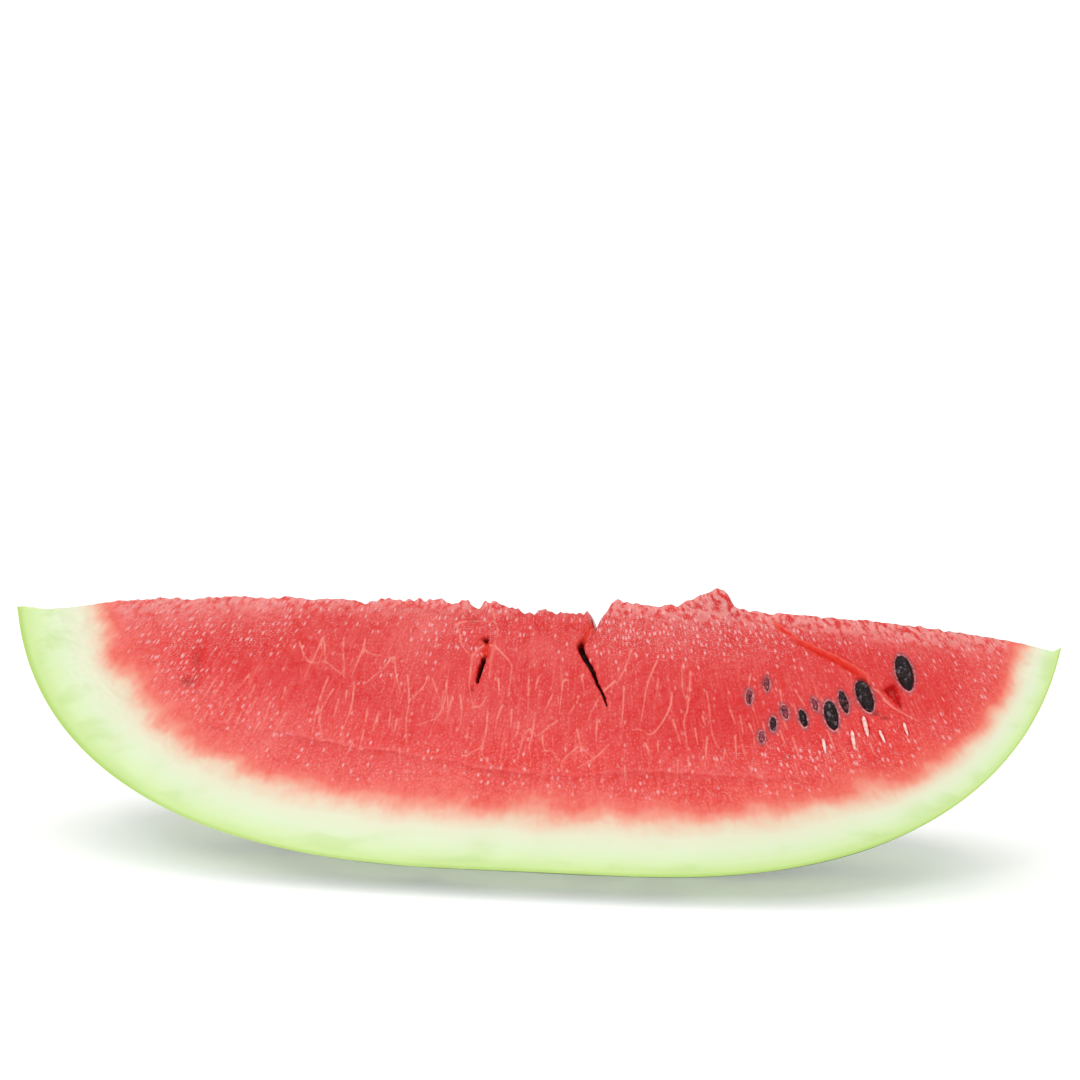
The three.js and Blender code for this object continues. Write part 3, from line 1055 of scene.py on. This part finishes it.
    # Where the painted glint flecks of the flesh lie thickest.
    glint_fleck_density: tuple[Patch, ...] = (
        Patch(-98, 15, 20, 8, 0.4), Patch(-122, 22, 8, 18, 0.3), Patch(60, 9, 45, 12, 0.4),
        Patch(30, 14, 14, 9, 0.25), Patch(-30, 16, 14, 8, 0.25), Patch(-50, 30, 8, 10, 0.2),
        Patch(100, 48, 30, 6, 0.25), Patch(-14, 8, 20, 10, 0.2),
    )
    facts: tuple[str, ...] = (
        "rind", "vein_side", "vein_gap", "vein_on", "seam", "pale", "deep", "glint_fleck_density", "hollow", "wall",
        "socket",
    )

    @property
    def rows(self) -> int:
        """How many rows of faces go round the wedge."""
        return self.front_rows + self.skin_rows + self.back_rows

    def station_x(self, column: int) -> float:
        """The x of a column. Columns crowd together at the tips, where the outline turns down."""
        share = 2 * column / self.stations - 1
        ease = 1 / (self.end_power - 1)
        left, right = self.melon.tips
        return (left + right) / 2 + ((1 + ease) * share - ease * share**self.end_power) * (right - left) / 2

    def row_place(self, row: int) -> tuple[Cut | None, float]:
        """Which face a row of vertices lies on, None for the skin, and how far across it, 0 to 1."""
        if row <= self.front_rows:
            return Cut.FRONT, self.spread(row / self.front_rows)
        row -= self.front_rows
        if row < self.skin_rows:
            return None, row / self.skin_rows
        return Cut.BACK, self.spread(1 - (row - self.skin_rows) / self.back_rows)

    def spread(self, share: float) -> float:
        """Spaces a face's rows closely in the flesh and further apart in the rind."""
        return self.row_start * share + (1 - self.row_start) * share**self.row_power

    def bent_x(self, x: float, drop: float) -> float:
        """A column's x at a drop, bent so that the sheet's lines run closely along the cracks."""
        moved = x
        for crack in self.cracks:
            away = x / MM - crack.middle
            near = 1 - smooth_step(2, 15, abs(away))
            if near > 0:
                fade = near * (1 - smooth_step(crack.bottom, crack.bottom + 24, drop / MM))
                moved += fade * (crack.path(drop / MM) - crack.middle - 0.5 * away) * MM
        return moved

    def heart(self, mm: float, inner: float, outer: float) -> float:
        """1 within the inner distance of the heart's middle, and 0 beyond the outer one, in millimetres."""
        return 1 - smooth_step(inner, outer, abs(mm - self.heart_x))

    def crest_drop(self, x: float) -> float:
        """How far the torn crest lies below the plain one. It is negative where flesh stands up."""
        mm = x / MM
        torn = 1 - 0.75 * smooth_step(135, 165, abs(mm))
        heart = self.heart(mm, 34, 52)
        fine = rough(mm, 3.1, 0, 0.33) * 0.9 + rough(mm, 9.7, 0, 0.52) * (0.6 + 1.3 * heart)
        return (along(self.crest, mm) * self.crest_slant + fine * torn) * MM

    def relief(self, cut: Cut, x: float, drop: float, edge: float) -> float:
        """How far the cut face stands out of its plane: the knife's waves, then lumps of flesh."""
        mm, down, side = x / MM, drop / MM, cut.value * 7.0
        waves = rough(mm, down, side, 0.022) * 0.9 + rough(mm, down, side, 0.07) * 0.28
        in_flesh = smooth_step(14, 26, (edge - drop) / MM)
        grain = rough(mm, down, side + 2, 0.36) * 0.16 + rough(mm, down, side + 4, 0.21) * 0.14
        heart = self.heart(mm, 30, 60)
        lumps = (1 - smooth_step(4, 26, down)) * rough(mm, down, side + 6, 0.17) * (0.5 + 0.6 * heart)
        crumbs = (1 - smooth_step(2, 12, down)) * rough(mm, down, side + 8, 0.45) * (0.3 + 0.7 * heart)
        if cut is Cut.FRONT:
            grain += rough(mm, down, side + 9, 0.7) * 0.14
        return (waves + in_flesh * (grain + lumps + crumbs)) * smooth_step(0, 5, (edge - drop) / MM) * MM

    def tear(self, x: float, drop: float) -> tuple[float, float, float]:
        """How deep the cracks are at a place.

        Returns:
            The depth in metres, how much painted shade darkens it in there, and how much of a red wall
            shows, from 0 to 1.
        """
        mm, down = x / MM, drop / MM
        depth = hollow = wall = 0.0
        for crack in self.cracks:
            width = crack.width(down)
            if width > 0 and abs(mm - crack.path(down)) < 4:
                jag = rough(down, crack.depth, 0, 0.8) * 0.35
                open_share = 1 - smooth_step(0.35, 1.05, abs(mm - crack.path(down) - jag) / (width / 2))
                dark = smooth_step(crack.dark_from - 1.2, crack.dark_from + 1.2, down)
                deep = self.shallow + (crack.depth - self.shallow) * dark
                depth = max(depth, deep * open_share)
                hollow = max(hollow, open_share * dark)
                wall = max(wall, open_share * (1 - dark))
        return depth * MM, hollow, wall

    def lip(self, mm: float) -> float:
        """The drop of the cleft's ragged lip at an x, both in millimetres."""
        return along(self.cleft_lip, mm) + rough(mm, 5.5, 0, 0.5) * 0.5

    def drawn_to_lip(self, x: float, drop: float) -> float:
        """A row's drop at an x, moved so that the sheet's rows crowd along the cleft's lip."""
        mm = x / MM
        near = plateau(self.lip_bounds, mm)
        if near == 0:
            return drop
        off = drop / MM - self.lip(mm)
        return drop - near * self.lip_pull * off * exp(-((off / self.lip_span) ** 2)) * MM

    def cleft(self, x: float, drop: float) -> tuple[float, float]:
        """The slanting cleft by the seeds: a crisp lip, and a smooth wall that slopes up and out above it.

        Returns:
            The depth in metres, and how much of the smooth wall shows there, from 0 to 1.
        """
        mm, down = x / MM, drop / MM
        along_cleft = plateau(self.cleft_bounds, mm)
        if along_cleft == 0:
            return 0.0, 0.0
        above = self.lip(mm) - down
        reach = max(along(self.cleft_lip, mm) - along(self.cleft_top, mm), 0.5)
        if not -0.2 < above < reach:
            return 0.0, 0.0
        fade = along_cleft * smooth_step(-0.2, 0.3, above)
        left = 1 - max(above, 0) / reach
        size = self.cleft_depth * smooth_step(0, 4.5, reach)
        return size * fade * left**1.2 * MM, fade * smooth_step(0, 0.35, left)

    def notch_depth(self, x: float, drop: float) -> float:
        """The small three-cornered notch beside the largest seed."""
        mm, down = x / MM, drop / MM
        inside = float("inf")
        for (x0, y0), (x1, y1) in zip(self.notch, self.notch[1:] + self.notch[:1]):
            across = (x1 - x0) * (down - y0) - (y1 - y0) * (mm - x0)
            inside = min(inside, -across / hypot(x1 - x0, y1 - y0))
        return self.notch_size * smooth_step(-0.2, 1.2, inside)

    def face_point(self, cut: Cut, column: int, share: float) -> tuple[Vector, dict[str, float]]:
        """A point of a torn and grainy cut face.

        Args:
            cut: Which face.
            column: The sheet's column.
            share: 0 at the crest, 1 at the skin.

        Returns:
            The point, and what its place and its finish are.
        """
        plain_x = self.station_x(column)
        crest_x = self.bent_x(plain_x, 0.0)
        calm = smooth_step(0, self.calm_reach, self.melon.edge_drop(plain_x))
        top = self.crest_drop(crest_x) * calm
        drop = top + (self.melon.edge_drop(plain_x) - top) * share
        low_x = self.bent_x(plain_x, drop) if cut is Cut.FRONT else plain_x
        settle = smooth_step(0, self.front_settle if cut is Cut.FRONT else self.back_settle, drop - top)
        x = crest_x + (low_x - crest_x) * settle
        edge = self.melon.edge_drop(x)
        drop = top + (edge - top) * share
        if cut is Cut.FRONT:
            drop = max(self.drawn_to_lip(x, drop), top)
        point = self.melon.on_face(cut, x, drop)
        tuft = plateau(self.tuft_bounds, x / MM)
        blunt = (self.tuft_blunt * tuft + self.crest_blunt) * MM * calm
        rounding = min(sqrt(max(drop - top, 0.0) / min(self.crest_round, 0.3 * edge + 1e-9)), 1.0)
        point.y = cut.value * rounding * hypot(max(point.y * cut.value, 0.0), blunt)
        out = self.relief(cut, x, drop, edge) * rounding * calm
        facts = {"x": x / MM, "drop": drop / MM, "hollow": 0.0, "wall": 0.0, "socket": self.socket_far}
        normal = self.melon.normal(cut)
        if cut is Cut.FRONT:
            torn, facts["hollow"], red = self.tear(x, drop)
            carved, smooth = self.cleft(x, drop)
            facts["wall"] = max(red, smooth)
            pit = sum(dent.at(x / MM, drop / MM) for dent in self.dents)
            out -= torn + carved + self.notch_depth(x, drop) + pit * MM
            # The dents are darkened with the cracks' painted shade.
            facts["hollow"] = max(facts["hollow"], min(pit / 4, 0.45))
        for socket in self.sockets[cut]:
            off = point - socket.middle
            if abs(off.x) < self.socket_side and off.length < self.socket_reach:
                out -= socket.depth_below(point, normal, self.socket_gap)
                if "black" in socket.node:
                    facts["socket"] = min(facts["socket"], socket.gap_to(point) / MM)
        return point + normal * out, facts

    def skin_point(self, column: int, share: float) -> tuple[Vector, tuple[float, float]]:
        """A point of the skin.

        Args:
            column: The sheet's column.
            share: 0 at the front face's edge, 1 at the back face's.

        Returns:
            The point, and its place on the skin map: x, and the way round from straight below.
        """
        x = self.station_x(column)
        edge = self.melon.edge_drop(x)
        half_angle = self.melon.cut_half_angle
        reach = atan2(edge * sin(half_angle), edge * cos(half_angle) - self.melon.crest_at(x))
        angle = reach * (2 * share - 1)
        along_belly = abs(x - self.melon.fullest_x) / self.belly_half_length
        off_belly = smooth_step(0.3, 1, max(along_belly, abs(angle) / self.belly_half_angle))
        off_rim = smooth_step(0, 0.12, share) * smooth_step(0, 0.12, 1 - share)
        dimple = (0.5 + 0.5 * rough(x / MM, angle * 90, 4, 0.03)) * self.dimple * off_belly * off_rim
        radius = self.melon.radius_at(x) - dimple
        height = self.melon.radius - radius * cos(angle)
        point = Vector((x + self.melon.centring, radius * sin(angle), height))
        return point, (x, self.melon.radius * angle)

    def outline(self) -> kdtree.KDTree:
        """The cut face's lower edge as points that can be searched, in millimetres."""
        left, right = self.melon.tips
        tree = kdtree.KDTree(self.outline_points + 1)
        for k in range(self.outline_points + 1):
            x = (left + right) / 2 - cos(pi * k / self.outline_points) * (right - left) / 2
            tree.insert(Vector((x, self.melon.edge_drop(x), 0)) / MM, k)
        tree.balance()
        return tree

    @property
    def no_vein(self) -> dict[str, float]:
        """The same facts where no fibre is near."""
        return {"vein_side": self.strands.reach, "vein_gap": self.strands.reach, "vein_on": 0.0}

    def vein_facts(self, tree: tuple, x: float, drop: float) -> dict[str, float]:
        """How near the nearest fibre is, on which side, and how strong it is."""
        found, lines = tree
        near, index, gap = found.find(Vector((x, drop, 0)))
        if gap > self.strands.reach:
            return self.no_vein
        way_x, way_drop, strength = lines[index]
        side = (x - near.x) * way_drop - (drop - near.y) * way_x
        return {"vein_side": side, "vein_gap": gap, "vein_on": strength}

    def build(self) -> bpy.types.Object:
        """Makes the piece.

        Returns:
            The finished object, with flesh as its first material slot and skin as its second.
        """
        sheet = bmesh.new()
        bmesh.ops.create_grid(sheet, x_segments=self.stations, y_segments=self.rows, size=1)
        layers = {name: sheet.verts.layers.float.new(name) for name in self.facts}
        grain_map, skin_map = (sheet.loops.layers.uv.new(name) for name in ("grain", "skin"))
        veins = self.strands.tree()
        outline = self.outline()
        row_of: dict[bmesh.types.BMVert, int] = {}
        grain_of: dict[bmesh.types.BMVert, tuple[float, float]] = {}
        skin_of: dict[bmesh.types.BMVert, tuple[float, float]] = {}
        for vertex in sheet.verts:
            column = round((vertex.co.x + 1) / 2 * self.stations)
            row = round((vertex.co.y + 1) / 2 * self.rows)
            row_of[vertex] = row
            cut, share = self.row_place(row)
            around = (row - self.front_rows) / self.skin_rows
            skin_point, skin_of[vertex] = self.skin_point(column, min(max(around, 0.0), 1.0))
            if cut is None:
                vertex.co = skin_point
                grain_of[vertex] = (0.0, 0.0)
                continue
            vertex.co, facts = self.face_point(cut, column, share)
            x, drop = facts["x"], facts["drop"]
            shift = self.back_grain_shift if cut is Cut.BACK else 0.0
            grain_of[vertex] = (self.strands.fan(x, drop) * MM + shift, drop * MM)
            mirrored = x if cut is Cut.FRONT else -x
            facts["rind"] = outline.find(Vector((x, drop, 0)))[2] / along(self.rind_thickness, x)
            for name in ("pale", "deep", "glint_fleck_density"):
                facts[name] = sum(patch.at(mirrored, drop) for patch in getattr(self, name))
            facts["seam"] = drop - along(self.seam, mirrored)
            facts.update(self.vein_facts(veins, x, drop) if cut is Cut.FRONT else self.no_vein)
            for name, layer in layers.items():
                vertex[layer] = facts[name]
        skin_last = self.front_rows + self.skin_rows
        for face in sheet.faces:
            row = min(row_of[vertex] for vertex in face.verts)
            face.material_index = 1 if self.front_rows <= row < skin_last else 0
            face.smooth = True
            for loop in face.loops:
                loop[grain_map].uv = grain_of[loop.vert]
                loop[skin_map].uv = skin_of[loop.vert]
        for edge in sheet.edges:
            rows = {row_of[vertex] for vertex in edge.verts}
            edge.smooth = rows not in ({self.front_rows}, {skin_last})
        bmesh.ops.remove_doubles(sheet, verts=sheet.verts, dist=0.002 * MM)
        bmesh.ops.recalc_face_normals(sheet, faces=sheet.faces)
        open_edges = sum(not edge.is_manifold for edge in sheet.edges)
        log.info("wedge: %d faces, %d open edges", len(sheet.faces), open_edges)
        piece = make_piece("wedge_flesh_and_rind", sheet, FleshFinish().make(), SkinFinish().make())
        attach(piece, "root")
        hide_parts("wedge")
        return piece


@dataclass
class Seed:
    """One seed: a flattened teardrop with a rim round it and a beak at its narrow end."""

    socket: Socket
    ripeness: Ripeness
    material: bpy.types.Material
    sides: int = 32
    rings: int = 22
    taper: float = 0.22
    widest: float = 1.024
    flatness: float = 0.72
    rim: float = 0.05
    beak: float = 0.12
    wrinkle: float = 0.035 * MM

    def build(self) -> bpy.types.Object:
        """Makes the seed where its socket is.

        Returns:
            The finished object.
        """
        body = bmesh.new()
        bmesh.ops.create_uvsphere(body, u_segments=self.sides, v_segments=self.rings, radius=1)
        bmesh.ops.rotate(body, verts=body.verts, cent=(0, 0, 0), matrix=Matrix.Rotation(-pi / 2, 3, "X"))
        for vertex in body.verts:
            vertex.co = self.socket.middle + self.socket.axes @ self.shaped(vertex.co)
        bmesh.ops.recalc_face_normals(body, faces=body.faces)
        for face in body.faces:
            face.smooth = True
        piece = make_piece(f"{self.socket.node}_coat", body, self.material)
        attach(piece, "root")
        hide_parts(self.socket.node)
        return piece

    def shaped(self, ball: Vector) -> Vector:
        """Where a point of the unit ball goes, in the seed's own axes."""
        half = self.socket.half
        narrow = (1 + self.taper * ball.y) / self.widest
        pinch = 1 - self.beak * smooth_step(0.55, 0.95, -ball.y)
        girth = hypot(ball.x, ball.z)
        lift = abs(ball.z) / girth if girth > 1e-6 else 0.0
        thick = ball.z * lift ** (self.flatness - 1) if lift > 1e-6 else 0.0
        rim = 1 + self.rim * (1 - smooth_step(0.0, 0.35, lift)) * smooth_step(0.0, 0.4, girth)
        hollow = 1 - 0.12 * smooth_step(0.6, 1.0, lift) * (1 - smooth_step(0.2, 0.75, abs(ball.y)))
        across = ball.x * half.x * narrow * pinch * rim * 0.96
        point = Vector((across, ball.y * half.y, thick * half.z * narrow * hollow))
        bumps = noise.noise(point * 900 + self.socket.middle * 1000) * self.wrinkle
        return point * (1 + bumps / max(point.length, 0.5 * MM))


@dataclass
class Studio:
    """A white floor, soft light from all round and above, and the camera."""

    floor_half: float = 7.0
    sky: float = 0.72
    key_strength: float = 1.25
    key_spread: float = radians(62)
    key_tilt: float = radians(16)
    glint_power: float = 3.0
    glint_size: float = 0.35
    azimuth: float = radians(7.865)
    elevation: float = radians(15.6)
    distance: float = 1.7
    aim: Vector = field(default_factory=lambda: Vector((2.948, 0, 115.351)) * MM)
    sensor: float = 36.0
    lens: float = 163.58

    def build(self, centring: float) -> None:
        """Makes the floor, the lights and the camera.

        Args:
            centring: The melon's x shift, because the aim is measured from the melon's middle.
        """
        self.floor()
        self.lights()
        self.camera(centring)
        bpy.context.scene.view_settings.view_transform = "Standard"
        log.info("studio: floor, lights and camera")

    def floor(self) -> None:
        """Makes the floor, just under the wedge."""
        sheet = bmesh.new()
        bmesh.ops.create_grid(sheet, x_segments=8, y_segments=8, size=self.floor_half)
        bmesh.ops.translate(sheet, verts=sheet.verts, vec=(0, 0, -0.05 * MM))
        floor = make_piece("studio_floor", sheet, FloorFinish().make())

    def lights(self) -> None:
        """Makes the sky, the wide key light overhead and a smaller light for glints."""
        world = bpy.data.worlds.new("studio_sky")
        bpy.context.scene.world = world
        world.use_nodes = True
        world.node_tree.nodes["Background"].inputs["Color"].default_value = (1, 1, 1, 1)
        world.node_tree.nodes["Background"].inputs["Strength"].default_value = self.sky
        key = bpy.data.lights.new("key", "SUN")
        key.energy = self.key_strength
        key.angle = self.key_spread
        self.add(key, Matrix.Rotation(self.key_tilt, 4, "X"))
        glint = bpy.data.lights.new("glint", "AREA")
        glint.energy = self.glint_power
        glint.size = self.glint_size
        away = Vector((-0.35, -1.1, 1.0))
        turn = away.to_track_quat("Z", "Y").to_matrix().to_4x4()
        self.add(glint, Matrix.Translation(away) @ turn)

    def add(self, data: bpy.types.ID, place: Matrix) -> bpy.types.Object:
        """Puts a light or camera into the scene."""
        made = bpy.data.objects.new(data.name, data)
        made.matrix_world = place
        bpy.context.scene.collection.objects.link(made)
        return made

    def camera(self, centring: float) -> None:
        """Makes the camera, which looks along +Y and a little down."""
        lens = bpy.data.cameras.new("camera")
        lens.sensor_width = self.sensor
        lens.lens = self.lens
        flat = cos(self.elevation)
        back = Vector((sin(self.azimuth) * flat, -cos(self.azimuth) * flat, sin(self.elevation)))
        aim = self.aim + Vector((centring, 0, 0))
        turn = back.to_track_quat("Z", "Y").to_matrix().to_4x4()
        bpy.context.scene.camera = self.add(lens, Matrix.Translation(aim + back * self.distance) @ turn)


@dataclass
class Fruit:
    """The wedge with all its seeds."""

    melon: Melon
    speckled: tuple[str, ...] = ("front_black_seed_3", "front_black_seed_6", "back_black_seed_5")
    filmed: tuple[str, ...] = (
        "front_black_seed_7", "front_black_seed_8", "front_black_seed_9", "front_black_seed_10",
        "front_black_seed_11", "back_black_seed_3", "back_black_seed_8",
    )

    def sockets(self, cut: Cut) -> list[Socket]:
        """The sockets of a face's seeds, in the order of their names."""
        start = f"{cut.name.lower()}_"
        return [Socket.of_node(node) for node in sorted(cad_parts) if node.startswith(start)]

    def veil_of(self, node: str) -> Veil:
        """How much film lies over a ripe seed."""
        if node in self.filmed:
            return Veil.FILMED
        return Veil.SPECKLED if node in self.speckled else Veil.BARE

    def build(self) -> None:
        """Makes the wedge, and then each seed."""
        sockets = {cut: self.sockets(cut) for cut in Cut}
        wedge = Wedge(self.melon, Strands(self.melon), sockets).build()
        log.info("built %s", wedge.name)
        ripe = {veil: RipeSeedFinish(veil).make() for veil in Veil}
        unripe = UnripeSeedFinish().make()
        for socket in sockets[Cut.FRONT] + sockets[Cut.BACK]:
            ripeness = Ripeness.UNRIPE if "pale" in socket.node else Ripeness.RIPE
            material = unripe if ripeness is Ripeness.UNRIPE else ripe[self.veil_of(socket.node)]
            seed = Seed(socket, ripeness, material).build()
            log.info("built %s", seed.name)


def main() -> None:
    """Builds the studio and the fruit."""
    logging.basicConfig(level=logging.INFO, format="%(name)s: %(message)s")
    melon = Melon()
    Studio().build(melon.centring)
    Fruit(melon).build()


if __name__ == "__main__":
    main()
